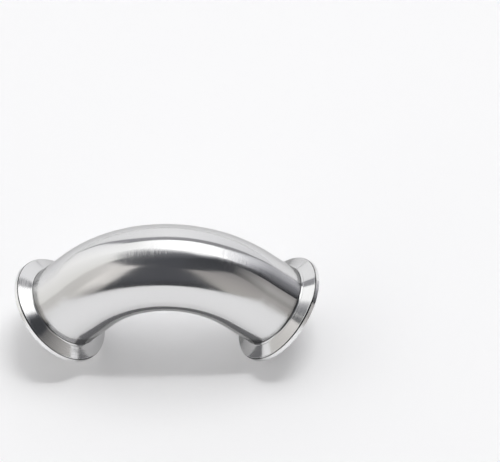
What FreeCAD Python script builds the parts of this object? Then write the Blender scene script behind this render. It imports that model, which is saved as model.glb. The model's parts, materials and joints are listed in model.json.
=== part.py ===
# Sanitary clamp elbow for 1.5 inch tube: a 90 degree tube bend with a turned ferrule welded to each end.
# It stands on the rims of its two clamp flanges, with the bend arching over them in the XZ plane.
# The origin is on the floor midway between the flanges, +X runs from the inlet side to the outlet side
# and +Z is up. Lengths are in millimetres and angles in degrees.
import FreeCAD
import Part
import Sketcher
import math
import os

doc = FreeCAD.newDocument("SanitaryElbow")
sheet = doc.addObject("Spreadsheet::Sheet", "Sizes")

# Driving dimensions: name, value, what it measures
driving_dimensions = [
    ("tube_outside", 38.1, "outside diameter of the tube"),
    ("tube_wall", 1.65, "wall of the tube and of the ferrule necks"),
    ("bend_radius", 48.5, "radius of the bend at the tube's centre line"),
    ("bend_angle", 90, "angle that the flow turns through"),
    ("ferrule_length", 21.5, "from the sealing face to the weld"),
    ("rim_outside", 50.5, "outside diameter of the clamp rim"),
    ("rim_land", 2.5, "width of the rim between its two corners"),
    ("cone_slope", 20, "slope of the clamp cone behind the rim, from the plane of the face"),
    ("neck_fillet", 1.2, "radius where the clamp cone meets the neck"),
    ("rim_round", 0.4, "radius that breaks the two corners of the rim"),
    ("groove_inset", 3.5, "from the edge of the rim in to the middle of the gasket groove"),
    ("groove_radius", 1.6, "radius of the gasket groove's section"),
    ("groove_depth", 1.4, "depth of the gasket groove in the sealing face"),
]
for row, (name, value, note) in enumerate(driving_dimensions, start=1):
    sheet.set(f"A{row}", name)
    sheet.set(f"B{row}", str(value))
    sheet.set(f"C{row}", note)
    sheet.setAlias(f"B{row}", name)
doc.recompute()

# Sizes that follow from the driving dimensions, as formulas that the features use
tube_radius = "Sizes.tube_outside / 2"
bore_radius = "(Sizes.tube_outside / 2 - Sizes.tube_wall)"
rim_radius = "Sizes.rim_outside / 2"
groove_circle_radius = "(Sizes.rim_outside / 2 - Sizes.groove_inset)"
groove_centre_height = "Sizes.groove_radius - Sizes.groove_depth"
half_bend = "Sizes.bend_angle / 2 * 1 deg"

# The rounded corner of each tilted rim touches the floor, and that sets how high the faces sit
face_height = (
    f"({rim_radius} - Sizes.rim_round) * cos({half_bend}) + Sizes.rim_round * (1 - sin({half_bend}))"
)
face_reach = f"Sizes.bend_radius * sin({half_bend}) + Sizes.ferrule_length * cos({half_bend})"
bend_centre_height = (
    f"{face_height} + Sizes.ferrule_length * sin({half_bend}) - Sizes.bend_radius * cos({half_bend})"
)


def size(name):
    """The value that the sheet holds for a driving dimension."""
    return float(sheet.get(name))


def new_sketch(body, name, plane_role):
    """An empty sketch on one of the body's own origin planes."""
    plane = [item for item in body.Origin.OriginFeatures if item.Role == plane_role][0]
    sketch = body.newObject("Sketcher::SketchObject", name)
    sketch.AttachmentSupport = (plane, "")
    sketch.MapMode = "FlatFace"
    return sketch


def dimension(sketch, name, formula, *constraint):
    """Add a dimension to a sketch, named and driven by a formula on the sheet."""
    index = sketch.addConstraint(Sketcher.Constraint(*constraint))
    sketch.renameConstraint(index, name)
    sketch.setExpression(f"Constraints.{name}", formula)


def add_ring(sketch, height, radii):
    """Circles of the given radii about one centre, at a height on the sketch's vertical axis."""
    centre = FreeCAD.Vector(0, height, 0)
    upward = FreeCAD.Vector(0, 0, 1)
    circles = [sketch.addGeometry(Part.Circle(centre, upward, radius), False) for radius in radii]
    sketch.addConstraint(Sketcher.Constraint("PointOnObject", circles[0], 3, -2))
    for circle in circles[1:]:
        sketch.addConstraint(Sketcher.Constraint("Coincident", circle, 3, circles[0], 3))
    return circles


def circle_edge(feature, radius, height):
    """The name of a turned feature's circular edge of that radius at that height on its axis."""
    for number, edge in enumerate(feature.Shape.Edges, start=1):
        if not isinstance(edge.Curve, Part.Circle):
            continue
        same_radius = math.isclose(edge.Curve.Radius, radius, abs_tol=1e-4)
        same_height = math.isclose(edge.Curve.Center.z, height, abs_tol=1e-4)
        if same_radius and same_height:
            return f"Edge{number}"
    raise ValueError(f"{feature.Label} has no circle of radius {radius} at height {height}")


def add_fillet(body, name, base, edges, formula):
    fillet = body.newObject("PartDesign::Fillet", name)
    fillet.Base = (base, edges)
    fillet.setExpression("Radius", formula)
    doc.recompute()
    return fillet


def make_elbow_tube():
    """The bent tube: a ring section at the crown, swept half of the bend to each side."""
    body = doc.addObject("PartDesign::Body", "elbow_tube")
    section = new_sketch(body, "tube_section", "YZ_Plane")
    outer_radius = size("tube_outside") / 2
    inner_radius = outer_radius - size("tube_wall")
    outer, inner = add_ring(section, size("bend_radius"), [outer_radius, inner_radius])
    dimension(section, "centre_line", "Sizes.bend_radius", "DistanceY", -1, 1, outer, 3, size("bend_radius"))
    dimension(section, "outside", tube_radius, "Radius", outer, outer_radius)
    dimension(section, "bore", bore_radius, "Radius", inner, inner_radius)

    bend = body.newObject("PartDesign::Revolution", "tube_bend")
    bend.Profile = section
    bend.ReferenceAxis = (section, ["H_Axis"])
    bend.Midplane = True
    bend.setExpression("Angle", "Sizes.bend_angle * 1 deg")
    body.setExpression("Placement.Base.z", bend_centre_height)
    doc.recompute()
    return body


def draw_ferrule_profile(sketch):
    """Half of the ferrule's section: radius across, height along its axis, the sealing face at height 0."""
    neck = size("tube_outside") / 2
    bore = neck - size("tube_wall")
    rim = size("rim_outside") / 2
    land_back = -size("rim_land")
    cone_foot = land_back - (rim - neck) * math.tan(math.radians(size("cone_slope")))
    weld_end = -size("ferrule_length")
    corners = [
        FreeCAD.Vector(bore, weld_end, 0),
        FreeCAD.Vector(neck, weld_end, 0),
        FreeCAD.Vector(neck, cone_foot, 0),
        FreeCAD.Vector(rim, land_back, 0),
        FreeCAD.Vector(rim, 0, 0),
        FreeCAD.Vector(bore, 0, 0),
    ]
    next_corners = corners[1:] + corners[:1]
    lines = [
        sketch.addGeometry(Part.LineSegment(start, end), False)
        for start, end in zip(corners, next_corners)
    ]
    for line, next_line in zip(lines, lines[1:] + lines[:1]):
        sketch.addConstraint(Sketcher.Constraint("Coincident", line, 2, next_line, 1))
    weld_line, neck_line, cone_line, rim_line, face_line, bore_line = lines
    for line in (weld_line, face_line):
        sketch.addConstraint(Sketcher.Constraint("Horizontal", line))
    for line in (neck_line, rim_line, bore_line):
        sketch.addConstraint(Sketcher.Constraint("Vertical", line))
    sketch.addConstraint(Sketcher.Constraint("PointOnObject", face_line, 1, -1))
    dimension(sketch, "neck", tube_radius, "DistanceX", -1, 1, weld_line, 2, neck)
    dimension(sketch, "bore", bore_radius, "DistanceX", -1, 1, weld_line, 1, bore)
    dimension(sketch, "rim", rim_radius, "DistanceX", -1, 1, face_line, 1, rim)
    dimension(sketch, "land", "Sizes.rim_land", "Distance", rim_line, size("rim_land"))
    dimension(sketch, "overall", "Sizes.ferrule_length", "Distance", bore_line, size("ferrule_length"))
    slope = math.radians(size("cone_slope"))
    dimension(sketch, "slope", "Sizes.cone_slope * 1 deg", "Angle", cone_line, slope)
    return cone_foot


def make_ferrule(label, side):
    """A turned weld ferrule, whose own Z axis leaves the port. side is -1 at -X and 1 at +X."""
    body = doc.addObject("PartDesign::Body", label)
    profile = new_sketch(body, f"{label}_profile", "XZ_Plane")
    cone_foot = draw_ferrule_profile(profile)
    turning = body.newObject("PartDesign::Revolution", f"{label}_turning")
    turning.Profile = profile
    turning.ReferenceAxis = (profile, ["V_Axis"])
    turning.Angle = 360
    doc.recompute()

    groove_section = new_sketch(body, f"{label}_groove_section", "XZ_Plane")
    rim = size("rim_outside") / 2
    centre = FreeCAD.Vector(rim - size("groove_inset"), size("groove_radius") - size("groove_depth"), 0)
    section = Part.Circle(centre, FreeCAD.Vector(0, 0, 1), size("groove_radius"))
    circle = groove_section.addGeometry(section, False)
    dimension(groove_section, "reach", groove_circle_radius, "DistanceX", -1, 1, circle, 3, centre.x)
    dimension(groove_section, "height", groove_centre_height, "DistanceY", -1, 1, circle, 3, centre.y)
    dimension(groove_section, "radius", "Sizes.groove_radius", "Radius", circle, size("groove_radius"))
    groove = body.newObject("PartDesign::Groove", f"{label}_gasket_groove")
    groove.Profile = groove_section
    groove.ReferenceAxis = (groove_section, ["V_Axis"])
    groove.Angle = 360
    doc.recompute()
    if groove.Shape.Volume >= turning.Shape.Volume:
        raise ValueError(f"the gasket groove of {label} cuts nothing")

    neck_edge = circle_edge(groove, size("tube_outside") / 2, cone_foot)
    neck = add_fillet(body, f"{label}_neck_fillet", groove, [neck_edge], "Sizes.neck_fillet")
    rim_edges = [circle_edge(neck, rim, height) for height in (0, -size("rim_land"))]
    add_fillet(body, f"{label}_rim_rounds", neck, rim_edges, "Sizes.rim_round")

    body.Placement.Rotation = FreeCAD.Rotation(FreeCAD.Vector(0, 1, 0), side * 90)
    body.setExpression("Placement.Base.x", f"{side} * ({face_reach})")
    body.setExpression("Placement.Base.z", face_height)
    body.setExpression("Placement.Rotation.Angle", f"{side} * (90 deg + {half_bend})")
    doc.recompute()
    return body


pieces = [
    make_elbow_tube(),
    make_ferrule("inlet_ferrule", -1),
    make_ferrule("outlet_ferrule", 1),
]
doc.recompute()

for item in doc.Objects:
    if "Invalid" in item.State or "Error" in item.State:
        raise RuntimeError(f"{item.Label} did not compute: {item.State}")
for piece in pieces:
    if piece.Shape.isNull() or not piece.Shape.isValid():
        raise RuntimeError(f"{piece.Label} has no valid solid")

os.makedirs("parts", exist_ok=True)
for piece in pieces:
    piece.Shape.exportStep(f"parts/{piece.Label}.step")
    box = piece.Shape.optimalBoundingBox(False)
    print(
        f"{piece.Label}: {len(piece.Shape.Solids)} solid, {piece.Shape.Volume:.1f} mm3,"
        f" X {box.XMin:.2f} to {box.XMax:.2f}, Y {box.YMin:.2f} to {box.YMax:.2f},"
        f" Z {box.ZMin:.2f} to {box.ZMax:.2f}"
    )
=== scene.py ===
# Sanitary clamp elbow for 1.5 inch tube: a polished stainless bend with a turned ferrule at each end.
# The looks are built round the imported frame, in metres; mm turns a size in millimetres to metres.
import bpy
import json
import math
from mathutils import Matrix, Vector


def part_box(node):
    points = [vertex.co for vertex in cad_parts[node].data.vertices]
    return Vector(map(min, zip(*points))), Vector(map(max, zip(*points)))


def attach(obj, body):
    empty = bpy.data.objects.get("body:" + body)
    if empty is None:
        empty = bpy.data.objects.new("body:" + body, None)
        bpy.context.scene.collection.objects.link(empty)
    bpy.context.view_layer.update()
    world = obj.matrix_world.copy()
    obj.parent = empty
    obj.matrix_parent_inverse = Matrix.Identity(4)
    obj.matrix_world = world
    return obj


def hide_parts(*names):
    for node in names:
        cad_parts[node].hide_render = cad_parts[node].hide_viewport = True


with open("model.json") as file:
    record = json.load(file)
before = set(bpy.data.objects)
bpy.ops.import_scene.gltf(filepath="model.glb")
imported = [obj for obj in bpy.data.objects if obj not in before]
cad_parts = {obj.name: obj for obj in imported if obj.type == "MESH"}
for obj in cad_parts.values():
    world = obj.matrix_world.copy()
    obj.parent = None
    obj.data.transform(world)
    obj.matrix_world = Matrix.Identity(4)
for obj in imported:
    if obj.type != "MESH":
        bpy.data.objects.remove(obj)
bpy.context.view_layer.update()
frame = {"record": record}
mm = 0.001


def toLinear(hexColour):
    channels = [int(hexColour[i:i + 2], 16) / 255 for i in (1, 3, 5)]
    linear = [c / 12.92 if c <= 0.04045 else ((c + 0.055) / 1.055) ** 2.4 for c in channels]
    return (*linear, 1.0)


def addNode(tree, kind, inputs=None, **settings):
    node = tree.nodes.new(kind)
    for setting, value in settings.items():
        setattr(node, setting, value)
    for socket, value in (inputs or {}).items():
        if isinstance(value, bpy.types.NodeSocket):
            tree.links.new(value, node.inputs[socket])
        else:
            node.inputs[socket].default_value = value
    return node


# The bend's main sizes, read from the frame
mounts = {mount["name"]: mount for mount in frame["record"]["mounts"]}
tubeLow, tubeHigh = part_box("elbow_tube")
outletAxis = Vector(mounts["outlet_bore"]["axis"])
halfBend = math.atan2(-outletAxis.z, outletAxis.x)       # how far it bends to each side of the crown
tubeRadius = tubeHigh.y
boreRadius = mounts["outlet_bore"]["dims"]["r_mm"] * mm
rimRadius = mounts["outlet_rim"]["dims"]["r_mm"] * mm
ferruleLength = mounts["outlet_bore"]["dims"]["length_mm"] * mm
outerReach = tubeHigh.x / math.sin(halfBend)             # from the bend's centre to the outside of the tube
bendRadius = outerReach - tubeRadius
bendCentre = Vector((0, 0, tubeHigh.z - outerReach))
weldReach = bendRadius * halfBend                        # along the centre line from the crown to a weld
faceReach = weldReach + ferruleLength                    # and on to a sealing face
print(f"frame read: tube {tubeRadius / mm:.2f} mm radius on a bend of {bendRadius / mm:.2f} mm")

# Skins turned round the flow

turning = {
    "ringSteps": 192,        # steps round every turned or bent surface
    "uvName": "surface",     # its map is in metres: round the tube, then along the surface
}


def stationAt(along):
    # The section plane this far along the centre line: local x and y lie in it, and z follows the flow
    turn = max(-halfBend, min(halfBend, along / bendRadius))
    straight = along - turn * bendRadius
    return (
        Matrix.Translation(bendCentre)
        @ Matrix.Rotation(turn, 4, "Y")
        @ Matrix.Translation((straight, 0, bendRadius))
        @ Matrix.Rotation(math.pi / 2, 4, "Y")
    )


def lineRun(finish, start, end, pieces=1):
    # Even points on a straight stretch of profile, as (radius, along, outward radial, outward along), after
    # the name of its finish
    span = Vector(end) - Vector(start)
    outward = Vector((span.y, -span.x)).normalized()
    points = [Vector(start) + span * i / pieces for i in range(pieces + 1)]
    return finish, [(p.x, p.y, outward.x, outward.y) for p in points]


def arcRun(finish, centre, radius, startAngle, endAngle, pieces, hollow=False):
    # The same on an arc, with angles from the radial direction; a hollow arc faces its own centre
    points = []
    for i in range(pieces + 1):
        angle = startAngle + (endAngle - startAngle) * i / pieces
        away = Vector((math.cos(angle), math.sin(angle)))
        facing = -away if hollow else away
        points.append((centre[0] + radius * away.x, centre[1] + radius * away.y, facing.x, facing.y))
    return finish, points


def mirrored(runs):
    # The same profile at the inlet's end of the flow
    mirroredRuns = []
    for finish, points in reversed(runs):
        mirroredRuns.append((finish, [(p[0], -p[1], p[2], -p[3]) for p in reversed(points)]))
    return mirroredRuns


def turnedSkin(name, runs, skinFinishes, firstDistance):
    # A closed skin from a closed loop of profile runs, each of which has its own finish
    steps = turning["ringSteps"]
    rings, bands = [runs[0][1][0][:2]], []
    distance = firstDistance
    for finish, points in runs:
        for start, end in zip(points, points[1:]):
            nextDistance = distance + math.hypot(end[0] - start[0], end[1] - start[1])
            bands.append((finish, len(rings) - 1, start, distance, end, nextDistance))
            rings.append(end[:2])
            distance = nextDistance
    rings.pop()                                          # the last ring is the first one again
    stations = [stationAt(along) for radius, along in rings]
    angles = [2 * math.pi * i / steps for i in range(steps + 1)]
    circle = [(math.cos(angle), math.sin(angle)) for angle in angles]
    vertices = [
        station @ Vector((radius * c, radius * s, 0))
        for (radius, along), station in zip(rings, stations) for c, s in circle[:-1]
    ]
    faces, faceSlots, normals, uvs = [], [], [], []
    slots = list(skinFinishes)
    for finish, ring, start, distance, end, nextDistance in bands:
        slot, nextRing = slots.index(finish), (ring + 1) % len(rings)
        sides = []
        for index, point, surfaceDistance in ((ring, start, distance), (nextRing, end, nextDistance)):
            turn = stations[index].to_3x3()
            facing = [turn @ Vector((point[2] * c, point[2] * s, point[3])) for c, s in circle]
            sides.append((index * steps, facing, surfaceDistance))
        for i in range(steps):
            corners = [(sides[0], i), (sides[0], i + 1), (sides[1], i + 1), (sides[1], i)]
            faces.append([firstVertex + k % steps for (firstVertex, facing, reached), k in corners])
            faceSlots.append(slot)
            for (firstVertex, facing, reached), k in corners:
                normals.append(facing[k])
                uvs.extend((angles[k] * tubeRadius, reached))
    mesh = bpy.data.meshes.new(name)
    mesh.from_pydata(vertices, [], faces)
    for finish in skinFinishes:
        mesh.materials.append(finishes[finish])
    mesh.polygons.foreach_set("material_index", faceSlots)
    mesh.polygons.foreach_set("use_smooth", [True] * len(faces))
    mesh.uv_layers.new(name=turning["uvName"]).uv.foreach_set("vector", uvs)
    mesh.normals_split_custom_set(normals)
    piece = bpy.data.objects.new(name, mesh)
    bpy.context.scene.collection.objects.link(piece)
    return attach(piece, "root")


# Finishes

def polishedStainless(name, look):
    # Stainless steel that was ground and polished in one direction, round the tube. The eye sees sharp edges
    # of reflection round the tube, and soft ones along it, where they break into fine streaks
    material = bpy.data.materials.new(name)
    material.use_nodes = True
    tree = material.node_tree
    tree.nodes.clear()
    surface = addNode(tree, "ShaderNodeUVMap", uv_map=turning["uvName"])
    place = addNode(tree, "ShaderNodeSeparateXYZ", {"Vector": surface.outputs["UV"]})
    angle = addNode(tree, "ShaderNodeMath", {0: place.outputs["X"], 1: tubeRadius}, operation="DIVIDE")
    cosine = addNode(tree, "ShaderNodeMath", {0: angle.outputs[0]}, operation="COSINE")
    sine = addNode(tree, "ShaderNodeMath", {0: angle.outputs[0]}, operation="SINE")
    spot = addNode(tree, "ShaderNodeCombineXYZ", {       # so that the patterns close up round the tube
        "X": cosine.outputs[0], "Y": sine.outputs[0], "Z": place.outputs["Y"],
    })
    noise = {}
    for pattern, length, pitch, detail in (
        ("lines", "lineLength", "linePitch", 3.0),
        ("waves", "waveLength", "wavePitch", 1.0),
        ("drawn", "drawnWidth", "drawnLength", 2.0),
        ("haze", "hazeLength", "hazeWidth", 1.0),
        ("streaks", "streakLength", "streakPitch", 1.0),
    ):
        # Noise that is this long round the tube and this wide along it
        around = tubeRadius / look[length]
        stretched = addNode(tree, "ShaderNodeVectorMath", {
            0: spot.outputs[0], 1: (around, around, 1 / look[pitch]),
        }, operation="MULTIPLY")
        noise[pattern] = addNode(tree, "ShaderNodeTexNoise", {
            "Vector": stretched.outputs[0], "Scale": 1.0, "Detail": detail, "Roughness": 0.5,
        }).outputs["Fac"]

    waviness = addNode(tree, "ShaderNodeBump", {
        "Strength": 1.0, "Distance": look["waveHeight"], "Height": noise["waves"],
    })
    drawing = addNode(tree, "ShaderNodeBump", {
        "Strength": 1.0,
        "Distance": look["drawnHeight"],
        "Height": noise["drawn"],
        "Normal": waviness.outputs[0],
    })
    scratches = addNode(tree, "ShaderNodeBump", {
        "Strength": 1.0,
        "Distance": look["lineHeight"],
        "Height": noise["lines"],
        "Normal": drawing.outputs[0],
    })

    # The polish is worn in faint patches and in a few places more, and is rougher there, in streaks
    worn = addNode(tree, "ShaderNodeMapRange", {
        "Value": noise["haze"],
        "From Min": look["hazeStart"],
        "From Max": look["hazeFull"],
        "To Max": look["faintHaze"],
    }).outputs["Result"]
    for turned, along, length, width in look["wornPlaces"]:
        middle = (math.cos(math.radians(turned)), math.sin(math.radians(turned)), along * mm)
        away = addNode(tree, "ShaderNodeVectorMath", {0: spot.outputs[0], 1: middle}, operation="SUBTRACT")
        around = tubeRadius / (length * mm)
        shares = addNode(tree, "ShaderNodeVectorMath", {
            0: away.outputs[0], 1: (around, around, 1 / (width * mm)),
        }, operation="MULTIPLY")
        reach = addNode(tree, "ShaderNodeVectorMath", {0: shares.outputs[0]}, operation="LENGTH")
        wear = addNode(tree, "ShaderNodeMapRange", {
            "Value": reach.outputs["Value"], "To Min": 1.0, "To Max": 0.0,
        }, interpolation_type="SMOOTHSTEP")
        worn = addNode(tree, "ShaderNodeMath", {
            0: worn, 1: wear.outputs["Result"],
        }, operation="MAXIMUM").outputs[0]
    streaks = addNode(tree, "ShaderNodeMapRange", {
        "Value": noise["streaks"],
        "From Min": look["streakStart"],
        "From Max": look["streakFull"],
        "To Min": look["streakLeast"],
    })
    haze = addNode(tree, "ShaderNodeMath", {
        0: worn, 1: streaks.outputs["Result"],
    }, operation="MULTIPLY")
    polish = addNode(tree, "ShaderNodeMapRange", {
        "Value": noise["lines"],
        "From Min": look["lineLow"],
        "From Max": look["lineHigh"],
        "To Min": look["roughness"] - look["roughnessSpread"],
        "To Max": look["roughness"] + look["roughnessSpread"],
    })
    roughness = addNode(tree, "ShaderNodeMath", {
        0: haze.outputs[0], 1: look["hazeRoughness"], 2: polish.outputs["Result"],
    }, operation="MULTIPLY_ADD")
    tangent = addNode(tree, "ShaderNodeTangent", direction_type="UV_MAP", uv_map=turning["uvName"])
    steel = addNode(tree, "ShaderNodeBsdfPrincipled", {
        "Base Color": toLinear(look["colour"]),
        "Metallic": 1.0,
        "Roughness": roughness.outputs[0],
        "Anisotropic": look["anisotropy"],
        "Anisotropic Rotation": look["glossTurn"],
        "Specular Tint": toLinear(look["grazing"]),
        "Normal": scratches.outputs[0],
        "Tangent": tangent.outputs[0],
    })
    addNode(tree, "ShaderNodeOutputMaterial", {"Surface": steel.outputs[0]})
    return material


tubeLook = {
    "colour": "#E2E2E2",
    "grazing": "#CECECE",        # steel reflects less just short of grazing, which draws its outline
    "roughness": 0.125,
    "roughnessSpread": 0.02,     # up and down, from line to line
    "anisotropy": 0.88,
    "glossTurn": 0.25,           # a quarter turn, since polishing lines spread the gloss across themselves
    "linePitch": 0.45 * mm,      # 180 grit lines lie about 0.08 mm apart, too fine to show: drawn wider
    "lineLength": 14 * mm,
    "lineHeight": 0.006 * mm,
    "lineLow": 0.3,              # shares of the noise between which the lines go from smooth to rough
    "lineHigh": 0.7,
    "wavePitch": 9 * mm,         # waves that hand polishing leaves
    "waveLength": 22 * mm,
    "waveHeight": 0.05 * mm,
    "drawnWidth": 1.6 * mm,      # faint ridges that drawing left along the tube
    "drawnLength": 45 * mm,
    "drawnHeight": 0.025 * mm,
    "hazeLength": 16 * mm,       # faint patches, about as long as a finger's pad
    "hazeWidth": 24 * mm,
    "hazeStart": 0.48,           # shares of the noise between which a patch sets in
    "hazeFull": 0.68,
    "hazeRoughness": 0.20,       # on top of the polish's, where the wear is full
    "faintHaze": 0.2,            # of the full haze, in the patches all over
    "wornPlaces": (              # degrees round the tube, mm along it from the crown, half sizes in mm
        (199, -4, 6, 18),
        (192, 23, 6, 17),
        (40, -20, 9, 16),
        (95, 30, 8, 18),
    ),
    "streakLength": 45 * mm,
    "streakPitch": 0.3 * mm,     # a pad's fibres are 0.02 to 0.05 mm thick, too fine to show: drawn wider
    "streakStart": 0.35,         # shares of the noise between which a streak sets in
    "streakFull": 0.65,
    "streakLeast": 0.25,         # share of the wear that is left between streaks
}
turnedLook = dict(
    tubeLook,
    roughness=0.13,
    roughnessSpread=0.05,
    anisotropy=0.93,
    linePitch=0.5 * mm,          # lathe marks under the polish, 0.1 mm apart: drawn wider to show
    lineLength=25 * mm,
    lineHeight=0.014 * mm,
    waveHeight=0.01 * mm,
    drawnHeight=0.0,
    hazeRoughness=0.35,
    faintHaze=0.1,
    streakLength=40 * mm,
    wornPlaces=((177, -58.8, 4.5, 7),),
)
# A lighter steel for the rim's land and front round is a painted highlight that draws the rim's bright edge;
# it is also a touch smoother
paintedHighlightLook = dict(turnedLook, colour="#F2F2F2", roughness=0.12)
# The dark corner finish is painted shade: its darker steel draws dark lines at the necks' fillets and the
# rims' back corners
paintedShadeLook = dict(turnedLook, colour="#6E6E6E", roughness=0.18, hazeRoughness=0.0)
facedLook = dict(turnedLook, roughness=0.3, lineLength=60 * mm, lineHeight=0.01 * mm)
boreLook = dict(tubeLook, colour="#D6D5D4", roughness=0.26, roughnessSpread=0.05)

# Beside the tube's finish: sharper with finer rings, a satin ring of turning marks, soft and greyer for the
# inside, the rim's bright edge as a painted highlight, and a fine dark line of painted shade
finishes = {
    "tube": polishedStainless("polished stainless tube", tubeLook),
    "turned": polishedStainless("turned and polished stainless", turnedLook),
    "faced": polishedStainless("faced stainless", facedLook),
    "bore": polishedStainless("polished stainless bore", boreLook),
    # lighter steel on the rim: painted highlight
    "rimHighlight": polishedStainless("stainless rim with painted highlight", paintedHighlightLook),
    # darker steel for the corners: painted shade
    "corner": polishedStainless("stainless corner with painted shade", paintedShadeLook),
}
print("finishes made")

# The bent tube

bentTube = {
    "stepsAlong": 120,       # steps along the bend
    "wallSteps": 2,          # steps across the wall at a weld
}


def makeBentTube():
    wallSteps, stepsAlong = bentTube["wallSteps"], bentTube["stepsAlong"]
    corners = [
        (tubeRadius, -weldReach),
        (tubeRadius, weldReach),
        (boreRadius, weldReach),
        (boreRadius, -weldReach),
    ]
    runs = [
        lineRun("tube", corners[0], corners[1], stepsAlong),
        lineRun("tube", corners[1], corners[2], wallSteps),
        lineRun("bore", corners[2], corners[3], stepsAlong),
        lineRun("tube", corners[3], corners[0], wallSteps),
    ]
    piece = turnedSkin("bent_tube", runs, ("tube", "bore"), -weldReach)
    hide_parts("elbow_tube")


makeBentTube()
print("bent tube made")

# The turned ferrules

ferrule = {
    "rimLand": 2.5 * mm,                 # width of the rim between its two corners
    "coneSlope": math.radians(20),       # from the plane of the sealing face
    "inletFacing": math.radians(31),     # buffing crowned the cones, so they mirror as if they sloped more
    "outletFacing": math.radians(37),
    "shadedFilletTurn": math.radians(22),      # how far round from the neck the fillet is darkened with painted shade
    "shadedEdgeTurn": math.radians(40),        # how far round from the land the rim's back corner is darkened with painted shade
    "neckFillet": 1.2 * mm,
    "rimRound": 0.4 * mm,                # at the sealing face
    "backRound": 0.8 * mm,               # where the cone meets the rim
    "grooveInset": 3.5 * mm,             # from the rim's edge to the middle of the gasket groove
    "grooveRadius": 1.6 * mm,            # of the groove's section
    "grooveDepth": 1.4 * mm,
    "neckSteps": 24,                     # steps along the profile
    "coneSteps": 12,
    "filletSteps": 10,
    "roundSteps": 6,
    "grooveSteps": 20,
    "faceSteps": 4,
}


def ferruleProfile(facing):
    # One loop: up the outside from the weld, in across the sealing face, and back down the bore
    slope, corner, edge = ferrule["coneSlope"], ferrule["shadedFilletTurn"], ferrule["shadedEdgeTurn"]
    fillet, rim, back = ferrule["neckFillet"], ferrule["rimRound"], ferrule["backRound"]
    neckSteps, coneSteps, filletSteps = ferrule["neckSteps"], ferrule["coneSteps"], ferrule["filletSteps"]
    roundSteps, grooveSteps, faceSteps = ferrule["roundSteps"], ferrule["grooveSteps"], ferrule["faceSteps"]
    landBack = faceReach - ferrule["rimLand"]
    coneFoot = landBack - (rimRadius - tubeRadius) * math.tan(slope)
    quarter = math.pi / 2

    # The fillet between neck and cone touches both; its centre lies outside the metal
    filletReach = fillet * math.tan((quarter - slope) / 2)
    filletCentre = (tubeRadius + fillet, coneFoot - filletReach)
    coneStart = (tubeRadius + filletReach * math.cos(slope), coneFoot + filletReach * math.sin(slope))
    filletEdge = math.pi - corner

    # The round on the rim's back corner touches the cone and the land
    roundReach = back * math.tan((quarter - slope) / 2)
    coneEnd = (rimRadius - roundReach * math.cos(slope), landBack - roundReach * math.sin(slope))
    backCentre = (rimRadius - back, landBack + roundReach)
    frontCentre = (rimRadius - rim, faceReach - rim)

    # The cone's points face as its look says, not as its shape does
    cone = lineRun("turned", coneStart, coneEnd, coneSteps)[1]
    crowned = [(point[0], point[1], math.sin(facing), -math.cos(facing)) for point in cone]

    # The gasket groove is part of a circle that the sealing face cuts
    groove = ferrule["grooveRadius"]
    grooveMiddle = rimRadius - ferrule["grooveInset"]
    grooveCentre = (grooveMiddle, faceReach + groove - ferrule["grooveDepth"])
    grooveEdge = math.acos((groove - ferrule["grooveDepth"]) / groove)
    grooveOut = (grooveMiddle + groove * math.sin(grooveEdge), faceReach)
    grooveIn = (grooveMiddle - groove * math.sin(grooveEdge), faceReach)
    grooveTurns = (grooveEdge - quarter, -grooveEdge - quarter)
    return [
        lineRun("tube", (tubeRadius, weldReach), (tubeRadius, filletCentre[1]), neckSteps),
        # Near the neck the fillet takes the dark corner finish, a painted shade line
        arcRun("corner", filletCentre, fillet, math.pi, filletEdge, filletSteps, hollow=True),
        arcRun("turned", filletCentre, fillet, filletEdge, quarter + slope, filletSteps, hollow=True),
        ("turned", crowned),
        arcRun("turned", backCentre, back, slope - quarter, -edge, roundSteps),
        # Near the land the back round takes the dark corner finish too, another painted shade line
        arcRun("corner", backCentre, back, -edge, 0, roundSteps),
        # The rim's land and its front round take the lighter rim finish, a painted highlight
        lineRun("rimHighlight", (rimRadius, backCentre[1]), (rimRadius, frontCentre[1]), faceSteps),
        arcRun("rimHighlight", frontCentre, rim, 0, quarter, roundSteps),
        lineRun("faced", (frontCentre[0], faceReach), grooveOut, faceSteps),
        arcRun("faced", grooveCentre, groove, *grooveTurns, grooveSteps, hollow=True),
        lineRun("faced", grooveIn, (boreRadius, faceReach), faceSteps),
        lineRun("bore", (boreRadius, faceReach), (boreRadius, weldReach), neckSteps),
        lineRun("tube", (boreRadius, weldReach), (tubeRadius, weldReach)),
    ]


def makeFerrule(name, node, runs, firstDistance):
    piece = turnedSkin(name, runs, finishes, firstDistance)
    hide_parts(node)


outletProfile = ferruleProfile(ferrule["outletFacing"])
inletProfile = mirrored(ferruleProfile(ferrule["inletFacing"]))
profileLength = sum(
    math.hypot(end[0] - start[0], end[1] - start[1])
    for finish, points in outletProfile for start, end in zip(points, points[1:])
)
makeFerrule("outlet_ferrule_skin", "outlet_ferrule", outletProfile, weldReach)
makeFerrule("inlet_ferrule_skin", "inlet_ferrule", inletProfile, -weldReach - profileLength)
print("ferrules made")

# Floor and light

cameraTurn = math.radians(5.42)      # the camera and the cards are turned this far towards the outlet

studio = {
    "height": 11.0,                  # of the softbox, in metres; the other places are in shares of it
    "tableHalf": 30.0,               # half the table's width, in metres
    "tableColour": "#E6E6E7",
    "tableRoughness": 0.9,
    "tableGloss": 0.2,
    "tableGlow": 0.20,               # it is a light table, so its shadows stay pale
    "background": "#F8F8F8",
    "cardGlow": 1.32,                # makes up for what steel takes, so the colours are as they look in it
    "room": ((-1.3, -3.0), (2.5, 1.4)),      # two opposite corners of the dark room round the table
    "roomTop": 1.05,
    "roomBands": (                   # its walls from the floor up: heights and their colours
        (-0.01, 0.055, "#D6D6D6", "#D6D6D6"),
        (0.055, 0.22, "#1C1C1E", "#3A3A3D"),
        (0.22, 1.05, "#3A3A3D", "#48494D"),
    ),
}

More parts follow.
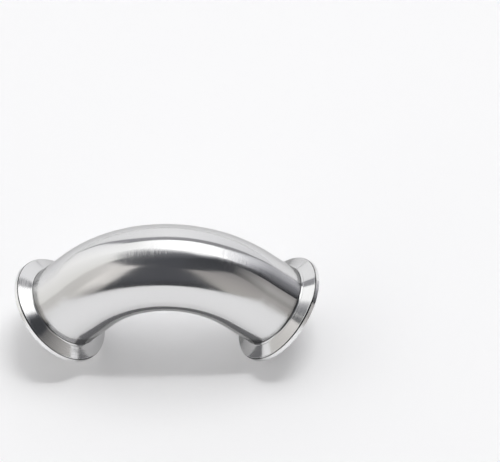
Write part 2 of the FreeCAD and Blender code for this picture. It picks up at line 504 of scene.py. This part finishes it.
# Lamps over the table: two opposite corners of each, its height, its radiance, where 1 is a white card, and
# whether the steel mirrors it
lamps = {
    "softbox": {"corners": ((0.05, 0.14), (0.90, 0.768)), "hung": 1.0, "glow": 1.4, "mirrored": True},
    "key lamp": {"corners": ((0.05, 0.03), (0.42, 0.10)), "hung": 0.99, "glow": 34.0, "mirrored": False},
    "second lamp": {"corners": ((0.00, 0.12), (0.50, 0.60)), "hung": 0.99, "glow": 1.6, "mirrored": False},
}

# Cards that the steel mirrors: corners in shares of the softbox's height, each with its own colour
cards = {
    "wall behind": [
        (-0.90, 1.00, 0.00, "#78787A"), (0.10, 1.00, 0.00, "#8C8C8E"), (1.40, 1.00, 0.00, "#88888A"),
        (1.40, 1.00, 1.05, "#7C7C7E"), (0.10, 1.00, 1.05, "#949496"), (-0.90, 1.00, 1.05, "#84848A"),
    ],
    "ceiling behind": [
        (-0.44, 0.74, 1.04, "#848488"), (0.10, 0.74, 1.04, "#949496"), (1.20, 0.74, 1.04, "#7C7C7E"),
        (1.20, 1.02, 1.04, "#7C7C7E"), (0.10, 1.02, 1.04, "#949496"), (-0.44, 1.02, 1.04, "#848488"),
    ],
    "back panel left": [
        (-0.63, 0.91, 0.02, "#DADADB"), (0.09, 0.91, 0.02, "#E4E4E5"), (0.09, 0.91, 0.828, "#E2E2E3"),
        (-0.15, 0.91, 0.80, "#DCDCDD"), (-0.27, 0.91, 0.745, "#DADADB"), (-0.40, 0.91, 0.62, "#DADADB"),
        (-0.46, 0.91, 0.45, "#D8D8D9"), (-0.50, 0.91, 0.25, "#D8D8D9"),
    ],
    "back panel middle": [
        (0.09, 0.91, 0.02, "#E4E4E5"), (0.65, 0.91, 0.02, "#D4D4D6"), (0.65, 0.91, 0.74, "#D4D4D6"),
        (0.34, 0.91, 0.80, "#DEDEE0"), (0.09, 0.91, 0.828, "#E2E2E3"),
    ],
    "back panel right": [
        (0.65, 0.91, 0.02, "#D4D4D6"), (1.12, 0.91, 0.02, "#CCCCCE"), (1.08, 0.91, 0.36, "#D6D6D8"),
        (0.93, 0.91, 0.55, "#D4D4D6"), (0.80, 0.91, 0.66, "#CECED0"), (0.65, 0.91, 0.74, "#D4D4D6"),
    ],
    "left panel": [
        (-0.614, -0.05, 0.02, "#D2D1CE"), (-0.614, 0.42, 0.02, "#E8E7E6"), (-0.614, 0.42, 1.00, "#EFEFEF"),
        (-0.614, -0.05, 0.98, "#DEDDDA"),
    ],
    "left panel end": [
        (-0.614, 0.42, 0.02, "#E8E7E6"), (-0.614, 0.89, 0.02, "#E0E0E1"), (-0.614, 1.00, 0.40, "#E4E4E5"),
        (-0.614, 1.00, 1.00, "#E4E4E5"), (-0.614, 0.42, 1.00, "#EFEFEF"),
    ],
    "ceiling left": [
        (-0.614, 0.37, 1.00, "#E6E6E6"), (-0.27, 0.26, 1.00, "#F2F2F2"), (-0.27, 0.80, 1.00, "#ECECEC"),
        (-0.42, 0.85, 1.00, "#E4E4E4"), (-0.53, 0.88, 1.00, "#E4E4E4"), (-0.614, 1.00, 1.00, "#E6E6E6"),
    ],
    "ceiling middle": [
        (0.05, 0.14, 1.00, "#FFFFFF"), (-0.11, 0.18, 1.00, "#FFFFFF"), (-0.27, 0.26, 1.00, "#FFFFFF"),
        (-0.27, 0.80, 1.00, "#FFFFFF"), (0.05, 0.772, 1.00, "#FFFFFF"),
    ],
    "ceiling right": [
        (0.90, 0.08, 1.00, "#F4F4F6"), (1.14, 0.08, 1.00, "#A8A8AE"), (1.14, 0.87, 1.00, "#E8E8EC"),
        (0.90, 0.80, 1.00, "#FFFFFF"),
    ],
    "ceiling front right": [
        (0.25, -0.15, 1.02, "#3E3F42"), (1.30, 0.05, 1.02, "#303134"), (1.30, -1.00, 1.02, "#404144"),
        (0.10, -1.00, 1.02, "#46474A"),
    ],
    "front left panel low": [
        (-0.53, -0.67, 0.02, "#7C7A78"), (-0.70, -0.40, 0.02, "#B6B4B1"), (-0.70, -0.40, 0.30, "#E2DFDC"),
        (-0.53, -0.67, 0.30, "#CAC7C4"),
    ],
    "front left panel high": [
        (-0.53, -0.67, 0.30, "#CAC7C4"), (-0.70, -0.40, 0.30, "#E2DFDC"), (-0.70, -0.40, 1.02, "#CECBC8"),
        (-0.53, -0.67, 1.02, "#DCD9D7"),
    ],
    "front left panel end": [
        (-0.70, -0.40, 0.02, "#B6B4B1"), (-0.845, -0.05, 0.02, "#BCBAB8"), (-0.845, -0.05, 1.02, "#CCC9C7"),
        (-0.70, -0.40, 1.02, "#DEDBD9"),
    ],
    "rear right panel": [
        (1.15, 0.87, 0.02, "#9C9CA0"), (1.20, 0.50, 0.02, "#727276"), (1.12, 0.50, 1.00, "#E4E4E8"),
        (1.12, 0.87, 1.00, "#DCDCE0"),
    ],
    "rear right panel end": [
        (1.20, 0.50, 0.02, "#727276"), (1.20, 0.06, 0.02, "#2C2C30"), (1.12, 0.06, 1.00, "#8C8C92"),
        (1.12, 0.50, 1.00, "#E4E4E8"),
    ],
    "black flag": [
        (1.05, 0.05, 0.27, "#1E1E20"), (1.05, -0.09, 0.25, "#1E1E20"), (1.05, -0.09, 1.00, "#4E4E52"),
        (1.05, 0.05, 1.00, "#5C5C60"),
    ],
    "black flag low": [
        (1.04, 0.34, 0.18, "#707074"), (1.04, -0.10, 0.17, "#121214"), (1.04, -0.09, 0.62, "#1E1E20"),
        (1.04, 0.10, 0.60, "#58585C"), (1.04, 0.22, 0.40, "#78787C"),
    ],
    "right card": [
        (0.90, -0.10, 0.02, "#A4A19F"), (0.76, -0.26, 0.02, "#AEACAA"), (0.76, -0.26, 0.70, "#626162"),
        (0.90, -0.10, 0.78, "#6C6B6C"),
    ],
    "right card end": [
        (0.76, -0.26, 0.02, "#AEACAA"), (0.62, -0.42, 0.02, "#908E8B"), (0.62, -0.42, 0.61, "#444343"),
        (0.76, -0.26, 0.70, "#626162"),
    ],
    "front right card": [
        (0.62, -0.42, 0.02, "#989593"), (0.207, -0.773, 0.02, "#A5A29E"), (0.170, -0.80, 0.775, "#969391"),
        (0.62, -0.42, 0.61, "#807E7E"),
    ],
}

# A dark card on the table under the arch, only there for the steel, is a sheet of painted shade: the steel
# mirrors it as the arch's dark inner outline
shadeCard = {
    "corners": ((-38, -28), (38, -28), (34, -14), (-34, -14)),    # x and y in mm
    "lift": 0.3 * mm,
    "colour": "#666668",
}

# The softbox's near edge fades out over these rows: a colour, and a y for each x, in shares of its height
softEdge = {
    "hung": 1.01,
    "columns": (-0.614, -0.40, -0.25, -0.14, -0.05, 0.05, 0.15, 0.25, 0.33, 0.45, 0.62, 0.90),
    "rows": (
        ("#FFFFFF", (0.45, 0.40, 0.34, 0.28, 0.22, 0.20, 0.20, 0.20, 0.20, 0.20, 0.20, 0.22)),
        ("#FAFAFA", (0.37, 0.32, 0.27, 0.18, 0.15, 0.14, 0.125, 0.08, 0.03, 0.01, 0.04, 0.10)),
        ("#ACACAE", (0.20, 0.20, 0.18, 0.12, 0.065, 0.045, 0.04, 0.02, -0.04, -0.045, 0.03, 0.08)),
        ("#66676B", (-0.04, 0.02, 0.05, 0.02, -0.02, -0.03, -0.03, -0.05, -0.09, -0.10, -0.01, 0.05)),
        ("#4A4B4F", (-0.30, -0.30, -0.30, -0.30, -0.30, -0.30, -0.30, -0.28, -0.22, -0.18, -0.08, -0.02)),
    ),
}


def paintTable():
    # Matt white acrylic with a little light through it: even and pale, with no shine and with soft shadows
    material = bpy.data.materials.new("matt white acrylic")
    material.use_nodes = True
    paint = material.node_tree.nodes["Principled BSDF"]
    paint.inputs["Base Color"].default_value = toLinear(studio["tableColour"])
    paint.inputs["Roughness"].default_value = studio["tableRoughness"]
    paint.inputs["Specular IOR Level"].default_value = studio["tableGloss"]
    paint.inputs["Emission Color"].default_value = toLinear(studio["background"])
    paint.inputs["Emission Strength"].default_value = studio["tableGlow"]
    return material


def paintCards():
    # Lit card, by the colour of each corner, so that a card can fade from one side to another
    material = bpy.data.materials.new("lit card")
    material.use_nodes = True
    tree = material.node_tree
    tree.nodes.clear()
    colour = addNode(tree, "ShaderNodeVertexColor", layer_name="glow")
    light = addNode(tree, "ShaderNodeEmission", {
        "Color": colour.outputs["Color"], "Strength": studio["cardGlow"],
    })
    addNode(tree, "ShaderNodeOutputMaterial", {"Surface": light.outputs[0]})
    return material


litCard = paintCards()
studioTurn = Matrix.Rotation(cameraTurn, 4, "Z")


def addStageMesh(name, places, faces, material):
    mesh = bpy.data.meshes.new(name)
    mesh.from_pydata(places, [], faces)
    mesh.materials.append(material)
    piece = bpy.data.objects.new(name, mesh)
    bpy.context.scene.collection.objects.link(piece)
    return piece


def addCard(name, places, faces, colours):
    piece = addStageMesh(name, places, faces, litCard)
    layer = piece.data.color_attributes.new("glow", "FLOAT_COLOR", "POINT")
    for corner, colour in zip(layer.data, colours):
        corner.color = toLinear(colour)
    piece.visible_camera = False
    return piece


def inStudio(shares):
    # Places from shares of the softbox's height, turned with the camera
    return [studioTurn @ (Vector(share) * studio["height"]) for share in shares]


def addCards():
    for name, corners in cards.items():
        places = inStudio(corner[:3] for corner in corners)
        addCard(name, places, [range(len(corners))], [corner[3] for corner in corners])
    # The dark card beneath the arch is painted shade. It is seen only in the steel, and it neither lights
    # nor shades the table
    places = [(x * mm, y * mm, shadeCard["lift"]) for x, y in shadeCard["corners"]]
    card = addCard("painted shade under the arch", places, [range(4)], [shadeCard["colour"]] * 4)
    card.visible_diffuse = False
    card.visible_shadow = False


def addSoftEdge():
    columns, rows = softEdge["columns"], softEdge["rows"]
    count = len(columns)
    shares = [(x, y, softEdge["hung"]) for colour, depths in rows for x, y in zip(columns, depths)]
    starts = [row * count + i for row in range(len(rows) - 1) for i in range(count - 1)]
    faces = [(i, i + 1, i + 1 + count, i + count) for i in starts]
    addCard("soft edge", inStudio(shares), faces, [colour for colour, depths in rows for x in columns])


def addRoom():
    (x1, y1), (x2, y2) = studio["room"]
    for low, high, lowColour, highColour in studio["roomBands"]:
        shares = [(x, y, z) for z in (low, high) for x, y in ((x1, y1), (x2, y1), (x2, y2), (x1, y2))]
        faces = [(0, 1, 5, 4), (1, 2, 6, 5), (2, 3, 7, 6), (3, 0, 4, 7)]
        if high == studio["roomTop"]:
            faces.append((4, 5, 6, 7))                   # the ceiling
        addCard("dark room", inStudio(shares), faces, [lowColour] * 4 + [highColour] * 4)


def addLamps():
    height = studio["height"]
    for name, place in lamps.items():
        (x1, y1), (x2, y2) = place["corners"]
        lamp = bpy.data.lights.new(name, "AREA")
        lamp.shape = "RECTANGLE"
        lamp.size = (x2 - x1) * height
        lamp.size_y = (y2 - y1) * height
        lamp.energy = place["glow"] * math.pi * lamp.size * lamp.size_y
        holder = bpy.data.objects.new(name, lamp)
        middle = Vector(((x1 + x2) / 2, (y1 + y2) / 2, place["hung"]))
        holder.matrix_world = studioTurn @ Matrix.Translation(middle * height)
        holder.visible_camera = False
        holder.visible_glossy = place["mirrored"]
        bpy.context.scene.collection.objects.link(holder)


def makeStudio():
    half = studio["tableHalf"]
    corners = [(-half, -half, 0), (half, -half, 0), (half, half, 0), (-half, half, 0)]
    addStageMesh("table", corners, [(0, 1, 2, 3)], paintTable())
    addCards()
    addSoftEdge()
    addRoom()
    addLamps()
    world = bpy.data.worlds.new("white studio")
    world.use_nodes = True
    background = world.node_tree.nodes["Background"]
    background.inputs["Color"].default_value = toLinear(studio["background"])
    bpy.context.scene.world = world


makeStudio()
print("studio made")

# The camera, fitted to the photograph

view = {
    "elevation": math.radians(48.42),
    "roll": math.radians(-4.42),
    "distance": 1742.6 * mm,
    "aim": (38.4 * mm, 59.2 * mm),       # the floor's point in the middle of the picture, before the turn
    "lens": 274.5,
    "farthest": 200,                     # what is farther off isn't drawn
}


def makeCamera():
    camera = bpy.data.cameras.new("camera")
    camera.lens = view["lens"]
    camera.clip_end = view["farthest"]
    holder = bpy.data.objects.new("camera", camera)
    holder.matrix_world = (
        Matrix.Rotation(cameraTurn, 4, "Z")
        @ Matrix.Translation((*view["aim"], 0))
        @ Matrix.Rotation(math.pi / 2 - view["elevation"], 4, "X")
        @ Matrix.Translation((0, 0, view["distance"]))
        @ Matrix.Rotation(view["roll"], 4, "Z")
    )
    bpy.context.scene.collection.objects.link(holder)
    bpy.context.scene.camera = holder


makeCamera()
bpy.context.scene.view_settings.view_transform = "Standard"
